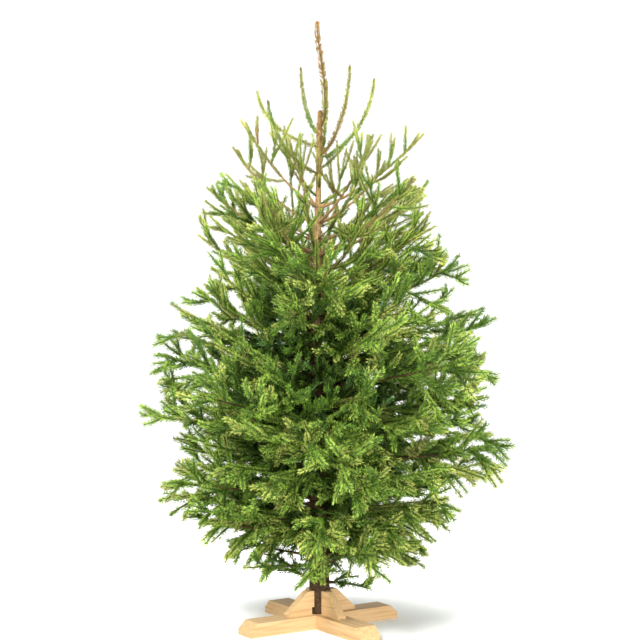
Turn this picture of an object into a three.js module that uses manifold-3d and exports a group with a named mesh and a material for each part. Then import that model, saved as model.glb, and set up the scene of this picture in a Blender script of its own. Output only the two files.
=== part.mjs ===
// A cut Norway spruce, sold as a Christmas tree, standing on a plain wooden cross.
// Units are millimetres and degrees, +Z is up, and +X is the right-hand side of the tree's front view.
// The origin lies under the trunk, on the flat underside of the cross.
//
// The trunk runs whole from its flat cut to a blunt top, where a side shoot has taken over as leader.
// Boughs leave it in whorls, one whorl for each year. Each bough ends where it enters its mass of
// foliage. A mass is a stem that carries on from the bough, with side sprigs whose teeth are the
// needled shoots. It keeps to its own sector of the whorl and to its own layer between the whorls
// above and below it, so no two masses meet.

import * as THREE from "three";
import Module from "manifold-3d";

const wasm = await Module();
wasm.setup();

// Driving dimensions.
const BOARD_THICKNESS = 44;
const BOARD_WIDTH = 78;
const BOARD_LENGTH = 560;
const BOARD_TURN = 33; // of the lower board, from +X
const BOARD_BEVEL = 26; // taken off each top end edge of a board
const BRACE_REACH = 92; // of a brace along its board, out from the trunk
const BRACE_HEIGHT = 74;
const BRACE_TOP = 20; // length of a brace's flat top
const BRACE_THICKNESS = 30;
const BRACE_TOE = 9; // height of a brace's outer end
const BRACE_SINK = 1; // how far a brace is let into its board
const GAP = 0.3; // between pieces that touch
const WELD = 0.02; // corners nearer than this fall together
const SLIVER = 0.1; // what is thinner is smoothed away where pieces are cut or joined

const TRUNK_HEIGHT = 1614; // from the cut to the blunt top
const BUTT_RADIUS = 35;
const TOP_RADIUS = 5.5;
const TAPER_POWER = 1.15;
const BUTT_CHAMFER = 5;
const TRUNK_LEAN = -11; // sideways, where the stem bows most
const WHORL_SWELL = 0.1; // share of the radius
const SWELL_LENGTH = 30; // along the trunk
const SWELL_REACH = 50;
const TRUNK_SIDES = 11;

const LIMB_SHARE = 0.2; // of a branch: the bare bough, before its mass of foliage
const STEM_END = 0.86; // share of a branch where its stem stops, inside the sprig at its end
const LIMB_SIDES = 5;
const TWIG_SIDES = 3;
const TIP_RADIUS = 1.6;
const LOPSIDED = 0.1; // the crown reaches further to +X than to -X
const SPACE_MARGIN = 3; // kept clear of a mass's limits
const GROUND_CLEARANCE = 95; // of the lowest twigs, above the stand
const ROOM_ABOVE = 190; // over the topmost whorl
const ROOT_SHARE = 0.8; // a sprig's root radius, as a share of its stem's
const NOTCH = 0.25; // how wide a sprig is between two teeth, as a share of the tooth
const SWEEP = 0.75; // how far a tooth points forward, as a share of how far it stands out
const MOST_SWEEP = 0.7; // the most, as a share of the way to the next notch
const CORE_RINGS = [[0.02, 0], [0.25, 1], [0.5, 0.8], [0.86, 0]]; // share of the stem, size
const CORE_SIDES = 6;
const CORE_WIDTH = 2.1; // across, as a share of its depth
const LEAST_TILT = 30; // of a blade about its own stem
const STEEPEST = 0.94; // sine of the most that a sprig turns out of that plane
const SHORTER = [1, 0.86, 0.72, 0.58, 0.44]; // lengths that a sprig is tried at, as shares of its own
const FAN = [0.75, -0.7, 0.3]; // how far one sprig after another climbs or hangs in the mass's space

// One row for each whorl, from the top down. height is above the cut, reach is how far the tip stands
// out, rise how far it ends above its root and slope the start of its climb, as a share of reach.
// stagger is how far every other bough sits above the whorl's height, and the rest below it.
// sprigs is the number of side pairs and spread their greatest length, as a share of reach. bend is
// how far a sprig curves up and width half its own width, as shares of its length, and teeth how many
// it has on a side. core is half the depth of the small dense core that the sprigs of a dense mass
// stand out of, and an open mass has none. limb tells whether a bare bough carries the mass, and seeds
// settle the chances of one bough after another.
const WHORLS = [
  { name: "upper", height: 1275, boughs: 6, turn: -8, reach: 318, rise: 245, slope: 0.3,
    radius: 5.5, stagger: 26, sprigs: 2, spread: 0.7, bend: 0.35, width: 0.1, teeth: 2, core: 0,
    limb: false, seeds: [100, 101, 102, 103, 104, 105] },
  { name: "shoulder", height: 1120, boughs: 5, turn: 30, reach: 400, rise: 225, slope: 0.24,
    radius: 6.5, stagger: 30, sprigs: 3, spread: 0.74, bend: 0.2, width: 0.22, teeth: 2, core: 0,
    limb: true, seeds: [200, 201, 212, 213, 204] },
  { name: "high", height: 912, boughs: 5, turn: -18, reach: 442, rise: 170, slope: 0.16,
    radius: 7.5, stagger: 44, sprigs: 4, spread: 0.68, bend: 0.08, width: 0.32, teeth: 2, core: 36,
    limb: true, seeds: [330, 301, 302, 303, 324] },
  { name: "middle", height: 675, boughs: 5, turn: 18, reach: 575, rise: 105, slope: 0.06,
    radius: 8.5, stagger: 50, sprigs: 4, spread: 0.66, bend: 0.04, width: 0.34, teeth: 2, core: 42,
    limb: true, seeds: [410, 411, 402, 403, 454] },
  { name: "low", height: 440, boughs: 5, turn: -16, reach: 532, rise: 50, slope: -0.02,
    radius: 9, stagger: 50, sprigs: 4, spread: 0.68, bend: 0, width: 0.34, teeth: 2, core: 42,
    limb: true, seeds: [510, 531, 512, 513, 514] },
  { name: "skirt", height: 212, boughs: 4, turn: 20, reach: 396, rise: 60, slope: 0.12,
    radius: 9, stagger: 24, sprigs: 4, spread: 0.78, bend: -0.08, width: 0.32, teeth: 2, core: 34,
    limb: false, seeds: [650, 621, 622, 643] },
];

// The bare shoots round the leader: turn from +X, height of the root above the cut, reach and rise.
const TOP_SHOOTS = [
  { turn: 176, height: 1497, reach: 200, rise: 177 },
  { turn: 116, height: 1539, reach: 142, rise: 231 },
  { turn: 78, height: 1440, reach: 118, rise: 285 },
  { turn: -50, height: 1467, reach: 150, rise: 267 },
  { turn: 14, height: 1461, reach: 184, rise: 258 },
  { turn: 206, height: 1410, reach: 178, rise: 219 },
];
const TOP_SHOOT_RADIUS = 3.4;
const LEADER = { height: 1560, rise: 336, bow: 19, end: -8, radius: 4.2 };
const NEEDLE = 9; // teeth of the bare shoots

// Colours as in the photograph, in plain sRGB.
const BARK_COLOUR = 0x5a3a22;
const YOUNG_BARK_COLOUR = 0x8a6a42;
const NEEDLE_COLOUR = 0x4f7a2b;
const TOP_NEEDLE_COLOUR = 0x8a8a3c;
const PINE_BOARD_COLOUR = 0xd2b184;

const rad = THREE.MathUtils.degToRad;
const UP = new THREE.Vector3(0, 0, 1);
const FRONT_RIGHT = new THREE.Vector3(1, 0, 0);
const LIMIT = 2 ** 32;

// Numbers from 0 to 1 that are the same on every run, for one limb or sprig.
function draws(seed) {
  let state = (seed * 1597334677) % LIMIT;
  return () => {
    state = (state * 1664525 + 1013904223) % LIMIT;
    return state / LIMIT;
  };
}

// A seed for item i of set j, under a parent's own seed.
const seedOf = (parent, j, i) => (parent * 131 + j * 17 + i * 7 + 3) % 99991;

// A closed mesh as a solid. points are Vector3, faces are triples of their indices.
function solid(points, faces) {
  return new wasm.Manifold(new wasm.Mesh({
    numProp: 3,
    vertProperties: new Float32Array(points.flatMap((p) => [p.x, p.y, p.z])),
    triVerts: new Uint32Array(faces.flat()),
  }));
}

// Rings of points joined into one closed skin. A ring of one point is a sharp end.
// teeth maps "ring,side" to the point of a tooth that stands on that face of the skin.
function skin(rings, teeth = new Map()) {
  const points = rings.flat();
  const starts = rings.map((_, r) => rings.slice(0, r).reduce((sum, before) => sum + before.length, 0));
  const at = (r, i) => starts[r] + (i % rings[r].length);
  const faces = [];
  for (let r = 0; r < rings.length - 1; r++) {
    const sides = Math.max(rings[r].length, rings[r + 1].length);
    for (let i = 0; i < sides; i++) {
      const quad = [at(r, i), at(r, (i + 1) % sides), at(r + 1, (i + 1) % sides), at(r + 1, i)];
      const loop = quad.filter((p, k) => p !== quad[(k + 1) % quad.length]);
      const tooth = teeth.get(r + "," + i);
      if (tooth) {
        const tip = points.push(tooth) - 1;
        loop.forEach((p, k) => faces.push([p, loop[(k + 1) % loop.length], tip]));
      } else {
        faces.push(...fan(loop));
      }
    }
  }
  faces.push(...fan(rings[0].map((_, i) => at(0, i)).reverse()));
  faces.push(...fan(rings.at(-1).map((_, i) => at(rings.length - 1, i))));
  return solid(points, faces);
}

// The triangles of a flat loop.
const fan = (loop) => loop.slice(2).map((p, k) => [loop[0], loop[k + 1], p]);

// A ring of points about a centre, square to along. Its first point lies towards up.
function ring(centre, along, up, radius, sides, width = 1) {
  const across = new THREE.Vector3().crossVectors(along, up).normalize();
  const lift = new THREE.Vector3().crossVectors(across, along).normalize();
  return Array.from({ length: sides }, (_, i) => {
    const a = (i / sides) * 2 * Math.PI;
    return centre.clone()
      .addScaledVector(lift, radius * Math.cos(a))
      .addScaledVector(across, radius * width * Math.sin(a));
  });
}

// The trunk's centre line and radius at a height above the cut.
function trunkCentre(height) {
  const bow = Math.sin((Math.PI * height) / TRUNK_HEIGHT);
  return new THREE.Vector3(TRUNK_LEAN * bow, 0, BOARD_THICKNESS + GAP + height);
}

function trunkRadius(height) {
  const share = Math.max(0, 1 - height / TRUNK_HEIGHT);
  const taper = TOP_RADIUS + (BUTT_RADIUS - TOP_RADIUS) * share ** TAPER_POWER;
  const nearest = Math.min(...WHORLS.map((w) => Math.abs(w.height - height)));
  return taper * (1 + WHORL_SWELL * Math.exp(-((nearest / SWELL_LENGTH) ** 2)));
}

// The trunk, or with clear above 0 the room that other pieces leave round it.
function trunkSolid(clear = 0) {
  const heights = [BUTT_CHAMFER, TRUNK_HEIGHT * 0.985];
  for (const { height } of WHORLS) heights.push(height - SWELL_REACH, height, height + SWELL_REACH);
  heights.sort((a, b) => a - b);
  const level = (height, radius) => ring(trunkCentre(height), UP, FRONT_RIGHT, radius + clear, TRUNK_SIDES);
  return skin([
    level(-clear, BUTT_RADIUS - BUTT_CHAMFER),
    ...heights.map((height) => level(height, trunkRadius(height))),
    level(TRUNK_HEIGHT + clear, TOP_RADIUS * 0.55),
  ]);
}

// A branch: its root on the trunk's centre line, its course and its size.
function branch(whorl, index) {
  const seed = whorl.seeds[index];
  const next = draws(seed);
  const turn = whorl.turn + (index * 360) / whorl.boughs + (next() - 0.5) * 16;
  const stretch = (1 + LOPSIDED * Math.cos(rad(turn))) * (0.95 + 0.1 * next());
  const height = whorl.height + (index % 2 ? -1 : 1) * whorl.stagger + (next() - 0.5) * 20;
  return {
    ...whorl,
    seed,
    middle: whorl.turn + (index * 360) / whorl.boughs,
    out: new THREE.Vector3(Math.cos(rad(turn)), Math.sin(rad(turn)), 0),
    height,
    reach: whorl.reach * stretch,
    rise: whorl.rise + (next() - 0.5) * 36,
    sway: (next() - 0.5) * 0.16 * whorl.reach,
  };
}

// Where a branch is at share t of its reach, and which way it grows there.
function courseAt(b, t) {
  const side = new THREE.Vector3().crossVectors(UP, b.out);
  const climb = b.slope * b.reach;
  const at = trunkCentre(b.height)
    .addScaledVector(b.out, b.reach * t)
    .addScaledVector(side, b.sway * t * t)
    .addScaledVector(UP, climb * t + (b.rise - climb) * t * t);
  const along = b.out.clone().multiplyScalar(b.reach)
    .addScaledVector(side, 2 * b.sway * t)
    .addScaledVector(UP, climb + 2 * (b.rise - climb) * t)
    .normalize();
  return { at, along };
}

const branchRadius = (b, t) => TIP_RADIUS + (b.radius - TIP_RADIUS) * (1 - t) ** 1.1;

// The stretch of a branch between two shares, as a tapering limb.
function limb(b, from, to, sides, steps) {
  const rings = [];
  for (let i = 0; i <= steps; i++) {
    const t = from + ((to - from) * i) / steps;
    const { at, along } = courseAt(b, t);
    rings.push(ring(at, along, UP, branchRadius(b, t), sides));
  }
  return skin(rings);
}

// The height of a whorl's own surface at distance out from the trunk's line.
function layer(whorl, out) {
  const share = out / whorl.reach;
  const curve = (whorl.rise - whorl.slope * whorl.reach) * share * share;
  return BOARD_THICKNESS + whorl.height + whorl.slope * out + curve;
}

// The lowest and highest that the mass of a branch may reach at a distance out from the trunk's line.
function limits(b, out) {
  const i = WHORLS.findIndex((w) => w.name === b.name);
  const own = layer(WHORLS[i], out);
  const over = WHORLS[i - 1];
  const under = WHORLS[i + 1];
  const top = over ? (layer(over, out) + own) / 2 : own + ROOM_ABOVE;
  const bottom = under ? (layer(under, out) + own) / 2 : BOARD_THICKNESS + GROUND_CLEARANCE;
  return { above: top - SPACE_MARGIN, below: bottom + SPACE_MARGIN };
}

// True where a point lies in the space of a branch's mass: its sector, between its neighbours' layers.
function inSpace(b, p) {
  const out = Math.hypot(p.x, p.y);
  const turn = THREE.MathUtils.radToDeg(Math.atan2(p.y, p.x)) - b.middle;
  const aside = Math.abs(((turn + 900) % 360) - 180);
  if (out * rad(180 / b.boughs - aside) < SPACE_MARGIN) return false;
  const { above, below } = limits(b, out);
  return p.z < above && p.z > below;
}

// A sprig: a blade on a three-sided stem, whose jagged edge stands for its needled shoots.
// It gives back its solid and the points that have to lie in the mass's space.
function sprig({ root, along, up, length, radius, bend, width, teeth }) {
  const rings = [];
  const tips = [];
  const steps = 2 * teeth + 1;
  for (let i = 0; i <= steps; i++) {
    const s = i / steps;
    const centre = root.clone().addScaledVector(along, length * s).addScaledVector(UP, bend * length * s * s);
    if (i === steps) {
      rings.push([centre]);
      tips.push(centre);
      continue;
    }
    const heading = along.clone().addScaledVector(UP, 2 * bend * s).normalize();
    const across = new THREE.Vector3().crossVectors(heading, up).normalize();
    const lift = new THREE.Vector3().crossVectors(across, heading).normalize();
    const stem = radius * (1 - 0.6 * s);
    const half = length * width * Math.sin(Math.PI * (0.2 + 0.8 * s));
    const isTooth = i % 2 === 1;
    const out = Math.max(isTooth ? half : half * NOTCH, stem * 0.87);
    const ahead = Math.min(half * SWEEP, (MOST_SWEEP * length) / steps);
    const edge = (side) => centre.clone()
      .addScaledVector(across, side * (i > 0 ? out : stem * 0.87))
      .addScaledVector(heading, isTooth ? ahead : 0)
      .addScaledVector(lift, -stem * 0.5);
    rings.push([centre.clone().addScaledVector(lift, stem), edge(1), edge(-1)]);
    if (isTooth) tips.push(edge(1), edge(-1));
  }
  return { shape: skin(rings), reached: tips };
}

// The course of side sprig k on one side of a branch: where it leaves, which way, and how long it is.
function sideSprig(b, k, side) {
  const next = draws(seedOf(b.seed, k, side + 2));
  const first = b.limb ? LIMB_SHARE + 0.03 : 0.2;
  const step = (0.94 - first) / b.sprigs;
  const t = first + step * (k + (side > 0 ? 0.5 : 0.05) + 0.3 * next());
  const { at, along } = courseAt(b, t);
  const across = new THREE.Vector3().crossVectors(along, UP).normalize();
  const lift = new THREE.Vector3().crossVectors(across, along).normalize();
  const length = b.reach * Math.max(b.spread * (1 - t) ** 0.75, 0.2) * (0.88 + 0.24 * next());
  const angle = rad(64 - 20 * t + 10 * (next() - 0.5));
  const fan = FAN[(2 * k + (side > 0 ? 1 : 0)) % FAN.length] * (0.8 + 0.2 * next());
  const { above, below } = limits(b, Math.hypot(at.x, at.y));
  const depth = fan > 0 ? fan * (above - at.z) : fan * (at.z - below);
  const aside = length * Math.sin(angle);
  const roll = Math.asin(THREE.MathUtils.clamp(depth / aside, -STEEPEST, STEEPEST));
  const outward = across.clone().multiplyScalar(side * Math.cos(roll)).addScaledVector(lift, Math.sin(roll));
  const direction = along.clone().multiplyScalar(Math.cos(angle)).addScaledVector(outward, Math.sin(angle));
  const tilt = rad((next() < 0.5 ? -1 : 1) * (LEAST_TILT + 30 * next()));
  const up = lift.clone().multiplyScalar(Math.cos(tilt)).addScaledVector(across, Math.sin(tilt));
  return { root: at, along: direction.normalize(), up, length, bend: b.bend, share: t };
}

// The small jagged core of a dense mass, round the inner part of its stem.
function core(b, start) {
  return skin(CORE_RINGS.map(([share, size]) => {
    const { at, along } = courseAt(b, start + (STEM_END - start) * share);
    return size > 0 ? ring(at, along, UP, b.core * size, CORE_SIDES, CORE_WIDTH) : [at];
  }));
}

// A mass of foliage: the branch's stem from share start on, with its sprigs fused on. A sprig that
// would leave the mass's space, or join it badly, is tried shorter, and then skipped.
function mass(b, start, trunkRoom) {
  let made = limb(b, start, STEM_END, TWIG_SIDES, 3);
  if (b.core > 0) made = made.add(core(b, b.limb ? start : LIMB_SHARE));
  made = onePiece(made.subtract(trunkRoom));
  const last = courseAt(b, STEM_END - 0.02);
  const sprigs = [{ root: last.at, along: last.along, up: UP, length: 0.16 * b.reach, bend: 0, share: 0.84 }];
  for (let k = 0; k < b.sprigs; k++) {
    sprigs.push(sideSprig(b, k, -1), sideSprig(b, k, 1));
  }
  for (const course of sprigs) {
    const radius = Math.max(ROOT_SHARE * branchRadius(b, course.share), TIP_RADIUS);
    for (const share of SHORTER) {
      const { shape, reached } = sprig({ ...b, ...course, length: course.length * share, radius });
      if (!reached.every((p) => inSpace(b, p))) continue;
      const joined = made.add(shape).simplify(SLIVER);
      if (!isClean(joined)) continue;
      made = joined;
      break;
    }
  }
  return onePiece(made);
}

// A thin bare shoot with short teeth, for the leader and the shoots round it. side is square to its plane.
function shoot(centre, side, steps, radius, tooth) {
  const rings = [];
  const teeth = new Map();
  for (let i = 0; i <= steps; i++) {
    const s = i / steps;
    const along = centre(Math.min(1, s + 0.02)).sub(centre(Math.max(0, s - 0.02))).normalize();
    const size = radius * (1 - 0.55 * s);
    rings.push(i === steps ? [centre(1)] : ring(centre(s), along, side, size, TWIG_SIDES));
    if (i < 1 || i >= steps - 1) continue;
    const across = new THREE.Vector3().crossVectors(along, side).normalize();
    const lift = new THREE.Vector3().crossVectors(across, along).normalize();
    const mid = centre((i + 0.5) / steps);
    for (let face = 0; face < TWIG_SIDES; face++) {
      const a = ((face + 0.5) / TWIG_SIDES) * 2 * Math.PI;
      teeth.set(i + "," + face, mid.clone()
        .addScaledVector(lift, tooth * Math.cos(a))
        .addScaledVector(across, tooth * Math.sin(a))
        .addScaledVector(along, tooth * 0.9));
    }
  }
  return skin(rings, teeth);
}

function topShoot({ turn, height, reach, rise }, trunkRoom) {
  const out = new THREE.Vector3(Math.cos(rad(turn)), Math.sin(rad(turn)), 0);
  const root = trunkCentre(height);
  const centre = (s) => root.clone()
    .addScaledVector(out, reach * (1 - (1 - s) ** 1.5))
    .addScaledVector(UP, rise * (0.35 * s + 0.65 * s * s));
  const side = new THREE.Vector3().crossVectors(UP, out);
  return onePiece(shoot(centre, side, 9, TOP_SHOOT_RADIUS, NEEDLE).subtract(trunkRoom));
}

// The side shoot that has taken over as leader: it leaves the trunk to +X and rises past its top.
function leader(trunkRoom) {
  const root = trunkCentre(LEADER.height);
  const centre = (s) => {
    const bow = LEADER.bow * Math.sin(Math.PI * Math.min(1, s * 1.15) ** 0.6);
    return root.clone().add(new THREE.Vector3(bow + LEADER.end * s, 0, LEADER.rise * s));
  };
  const side = new THREE.Vector3(0, 1, 0);
  return onePiece(shoot(centre, side, 12, LEADER.radius, NEEDLE * 1.1).subtract(trunkRoom));
}

// The largest body of a solid, its slivers smoothed away and the loose scraps of a cut dropped.
function onePiece(shape) {
  const bodies = shape.simplify(SLIVER).decompose();
  return bodies.reduce((best, body) => (body.volume() > best.volume() ? body : best));
}

// True for one body without a sealed hollow, no two of whose corners fall together.
function isClean(shape) {
  const { numProp, numVert, vertProperties } = shape.getMesh();
  const places = new Set();
  for (let i = 0; i < numVert; i++) {
    const corner = vertProperties.subarray(i * numProp, i * numProp + 3);
    places.add(corner.map((v) => Math.round(v / WELD)).join());
  }
  return places.size === numVert && shape.decompose().length === 1;
}

// A flat outline in a vertical plane through the board's own length, drawn out to a thickness.
function plank(outline, thickness) {
  const shape = new THREE.Shape(outline.map(([x, z]) => new THREE.Vector2(x, z)));
  const geometry = new THREE.ExtrudeGeometry(shape, { depth: thickness, bevelEnabled: false });
  geometry.rotateX(Math.PI / 2).translate(0, thickness / 2, 0);
  return fromGeometry(geometry);
}

// A three.js geometry as a solid, its equal corners merged.
function fromGeometry(geometry) {
  const flat = geometry.index ? geometry.toNonIndexed() : geometry;
  const position = flat.getAttribute("position");
  const index = new Map();
  const points = [];
  const faces = [];
  for (let i = 0; i < position.count; i++) {
    const p = new THREE.Vector3().fromBufferAttribute(position, i);
    const key = p.toArray().map((v) => v.toFixed(3)).join();
    if (!index.has(key)) index.set(key, points.push(p) - 1);
    if (i % 3 === 0) faces.push([]);
    faces.at(-1).push(index.get(key));
  }
  return solid(points, faces);
}

// One board of the cross with its two braces. The lower one is notched on top, the upper one below.
function board(turn, upper, trunkRoom) {
  const half = BOARD_LENGTH / 2;
  const shoulder = BOARD_THICKNESS - BOARD_BEVEL;
  let made = plank([
    [-half, 0], [half, 0], [half, shoulder], [half - BOARD_BEVEL, BOARD_THICKNESS],
    [BOARD_BEVEL - half, BOARD_THICKNESS], [-half, shoulder],
  ], BOARD_WIDTH);
  const foot = BOARD_THICKNESS - BRACE_SINK;
  const head = BOARD_THICKNESS + BRACE_HEIGHT;
  for (const side of [-1, 1]) {
    const inner = side * BUTT_RADIUS * 0.9;
    const outer = side * (BUTT_RADIUS + BRACE_REACH);
    const corner = side * (BUTT_RADIUS + BRACE_TOP);
    const outline = [[inner, foot], [outer, foot], [outer, foot + BRACE_TOE], [corner, head], [inner, head]];
    made = made.add(plank(side > 0 ? outline : outline.reverse(), BRACE_THICKNESS));
  }
  const depth = upper ? BOARD_THICKNESS + GAP : BOARD_THICKNESS + 3 * GAP;
  const notch = fromGeometry(new THREE.BoxGeometry(BOARD_WIDTH + 2 * GAP, BOARD_WIDTH * 2, depth));
  const level = upper ? 0 : BOARD_THICKNESS + GAP;
  return made.subtract(notch.translate([0, 0, level])).rotate([0, 0, turn]).subtract(trunkRoom);
}

const finish = (color, roughness) => new THREE.MeshStandardMaterial({ color, roughness, metalness: 0 });
const bark = finish(BARK_COLOUR, 0.9);
const youngBark = finish(YOUNG_BARK_COLOUR, 0.85);
const needles = finish(NEEDLE_COLOUR, 0.6);
const topNeedles = finish(TOP_NEEDLE_COLOUR, 0.6);
const pine = finish(PINE_BOARD_COLOUR, 0.7);

const tree = new THREE.Group();

// A solid as a named mesh of the tree.
function addNode(name, shape, material) {
  const mesh = shape.getMesh();
  const positions = new Float32Array(mesh.numVert * 3);
  for (let i = 0; i < mesh.numVert; i++)
    positions.set(mesh.vertProperties.subarray(i * mesh.numProp, i * mesh.numProp + 3), i * 3);
  const geometry = new THREE.BufferGeometry()
    .setAttribute("position", new THREE.BufferAttribute(positions, 3))
    .setIndex(new THREE.BufferAttribute(mesh.triVerts, 1));
  geometry.computeVertexNormals();
  const node = new THREE.Mesh(geometry, material);
  node.name = name;
  tree.add(node);
}

const trunkRoom = trunkSolid(GAP);
addNode("stand_lower_board", board(BOARD_TURN, false, trunkRoom), pine);
addNode("stand_upper_board", board(BOARD_TURN + 90, true, trunkRoom), pine);
addNode("trunk", trunkSolid(), bark);
addNode("leader", leader(trunkRoom), topNeedles);
TOP_SHOOTS.forEach((s, i) => addNode("top_shoot_" + (i + 1), topShoot(s, trunkRoom), topNeedles));
for (const whorl of WHORLS) {
  for (let i = 0; i < whorl.boughs; i++) {
    const b = branch(whorl, i);
    const number = "_" + (i + 1);
    if (whorl.limb) {
      const bough = limb(b, 0, LIMB_SHARE, LIMB_SIDES, 2);
      addNode(whorl.name + "_bough" + number, onePiece(bough.subtract(trunkRoom)), youngBark);
    }
    const start = whorl.limb ? LIMB_SHARE + GAP / b.reach : 0;
    addNode(whorl.name + "_foliage" + number, mass(b, start, trunkRoom), needles);
  }
}

export default tree;
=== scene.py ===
# A cut Norway spruce on a plain wooden cross, dressed with bark, boughs, twigs and needles.
# The courses of the boughs and sprigs follow the same seeded rule as the solid model, in millimetres,
# and are carried on to the shoots that the needles stand on.
import math

import bpy
import numpy as np
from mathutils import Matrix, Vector, noise


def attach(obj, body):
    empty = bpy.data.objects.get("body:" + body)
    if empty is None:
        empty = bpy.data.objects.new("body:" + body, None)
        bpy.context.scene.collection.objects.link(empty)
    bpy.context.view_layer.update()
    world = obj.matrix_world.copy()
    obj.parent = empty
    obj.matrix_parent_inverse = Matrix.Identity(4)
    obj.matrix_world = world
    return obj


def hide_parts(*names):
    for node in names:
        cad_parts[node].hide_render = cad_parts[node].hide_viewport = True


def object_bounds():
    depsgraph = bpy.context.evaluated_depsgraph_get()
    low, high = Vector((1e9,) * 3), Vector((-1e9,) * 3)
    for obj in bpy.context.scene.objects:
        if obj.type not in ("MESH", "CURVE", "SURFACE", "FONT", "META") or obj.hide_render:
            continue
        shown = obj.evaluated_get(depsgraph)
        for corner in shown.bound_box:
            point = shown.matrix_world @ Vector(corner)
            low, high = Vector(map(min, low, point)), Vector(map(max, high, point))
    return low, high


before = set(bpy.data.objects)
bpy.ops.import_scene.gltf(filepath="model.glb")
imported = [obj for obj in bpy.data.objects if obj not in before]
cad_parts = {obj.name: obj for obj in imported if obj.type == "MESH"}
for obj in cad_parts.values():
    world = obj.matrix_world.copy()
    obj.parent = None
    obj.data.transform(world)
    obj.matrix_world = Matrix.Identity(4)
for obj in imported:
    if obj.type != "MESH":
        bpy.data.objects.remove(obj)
CAD_BOX = [list(corner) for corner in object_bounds()]

MM = 0.001
UP = np.array([0.0, 0.0, 1.0])
RIGHT = np.array([1.0, 0.0, 0.0])
SIDES = (-1, 1)

# The repeatable draws that the solid model and this one share.
LIMIT = 2**32
SEED_FACTOR, DRAW_FACTOR, DRAW_STEP = 1597334677, 1664525, 1013904223

# The solid model's own values, in millimetres and degrees. Here and below, a pair of numbers is a
# least value and the range above it, a range by itself lies half on either side, a blur is the most
# that is added, and a jitter is the deviation of a normal draw.
BOARD_THICKNESS = 44
BOARD_TURN = 33
GAP = 0.3  # between the boards and the trunk's cut
TRUNK_HEIGHT = 1614
BUTT_RADIUS = 35
TOP_RADIUS = 5.5
TAPER_POWER = 1.15
BUTT_CHAMFER = 5
TRUNK_LEAN = -11  # how far the trunk's middle bows aside
WHORL_SWELL = 0.1
SWELL_LENGTH = 30
LOPSIDED = 0.1  # how much further the crown reaches on its right
TURN_RANGE = 16
STRETCH = (0.95, 0.1)
HEIGHT_RANGE = 20
RISE_RANGE = 36
SWAY_RANGE = 0.16  # as a share of the whorl's reach
LIMB_SHARE = 0.2  # the bare share of a bough
LIMB_TAPER = 1.1
TIP_RADIUS = 1.6
TIP_FROM, TIP_LENGTH = 0.84, 0.16  # of the sprig that ends a bough, as shares of its reach

# The space of a mass: off its neighbours, off the ground and over the top whorl.
SPACE_MARGIN = 3
GROUND_CLEARANCE = 95
ROOM_ABOVE = 190

# The sprigs of a mass: their places and lengths as shares of its bough's reach, their angle off it,
# which closes towards its tip, and how far each fans out up or down.
PAST_LIMB, LAST_SPRIG = 0.03, 0.94
SIDE_STEP = {-1: 0.05, 1: 0.5}
PLACE_BLUR = 0.3
SPREAD_POWER, LEAST_SPREAD = 0.75, 0.2
SPRIG_STRETCH = (0.88, 0.24)
SPRIG_FORK, FORK_CLOSES, FORK_RANGE = 64, 20, 10
FAN = (0.75, -0.7, 0.3)
FAN_SHARE = (0.8, 0.2)
SPRIG_TILT = (30, 30)
STEEPEST = 0.94  # the sine of the most that a sprig rolls out of the flat
SHORTER = (1, 0.86, 0.72, 0.58, 0.44)  # the lengths that are tried until a sprig fits its space
BLADE_TEETH = 2
BLADE_SWELL = (0.2, 0.8)  # the part of a half wave that its width follows
SWEEP = 0.75  # how far forward a tooth points, as a share of its width
MOST_SWEEP = 0.7  # of a step between teeth

# One row for each whorl: the solid model's own values, then those of its finer growth. stems finer
# boughs share a bough's space, with a sprig every gap millimetres on each side. A sprig has shoots
# every step millimetres on each side, up to shoot long and fork degrees off it. A shoot's tip rises
# by lift of its length, and it rolls about loose degrees out of the sprig's own plane.
WHORLS = [
    dict(name="upper", seeds=(100, 101, 102, 103, 104, 105),
         height=1275, boughs=6, turn=-8, reach=318, rise=245, slope=0.3,
         radius=5.5, stagger=26, sprigs=2, spread=0.7, bend=0.35, width=0.1, limb=False,
         stems=0, gap=130, step=140, shoot=190, fork=26, lift=0.2, loose=34),
    dict(name="shoulder", seeds=(200, 201, 212, 213, 204),
         height=1120, boughs=5, turn=30, reach=400, rise=225, slope=0.24,
         radius=6.5, stagger=30, sprigs=3, spread=0.74, bend=0.2, width=0.22, limb=True,
         stems=3, gap=120, step=84, shoot=150, fork=32, lift=0.25, loose=36),
    dict(name="high", seeds=(330, 301, 302, 303, 324),
         height=912, boughs=5, turn=-18, reach=442, rise=170, slope=0.16,
         radius=7.5, stagger=44, sprigs=4, spread=0.68, bend=0.08, width=0.32, limb=True,
         stems=4, gap=104, step=60, shoot=130, fork=34, lift=0.18, loose=42),
    dict(name="middle", seeds=(410, 411, 402, 403, 454),
         height=675, boughs=5, turn=18, reach=575, rise=105, slope=0.06,
         radius=8.5, stagger=50, sprigs=4, spread=0.66, bend=0.04, width=0.34, limb=True,
         stems=5, gap=120, step=60, shoot=128, fork=35, lift=0.08, loose=44),
    dict(name="low", seeds=(510, 531, 512, 513, 514),
         height=440, boughs=5, turn=-16, reach=532, rise=50, slope=-0.02,
         radius=9, stagger=50, sprigs=4, spread=0.68, bend=0, width=0.34, limb=True,
         stems=5, gap=120, step=60, shoot=128, fork=35, lift=-0.02, loose=44),
    dict(name="skirt", seeds=(650, 621, 622, 643),
         height=212, boughs=4, turn=20, reach=396, rise=60, slope=0.12,
         radius=9, stagger=24, sprigs=4, spread=0.78, bend=-0.08, width=0.32, limb=False,
         stems=4, gap=104, step=60, shoot=120, fork=37, lift=-0.22, loose=46),
]

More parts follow.
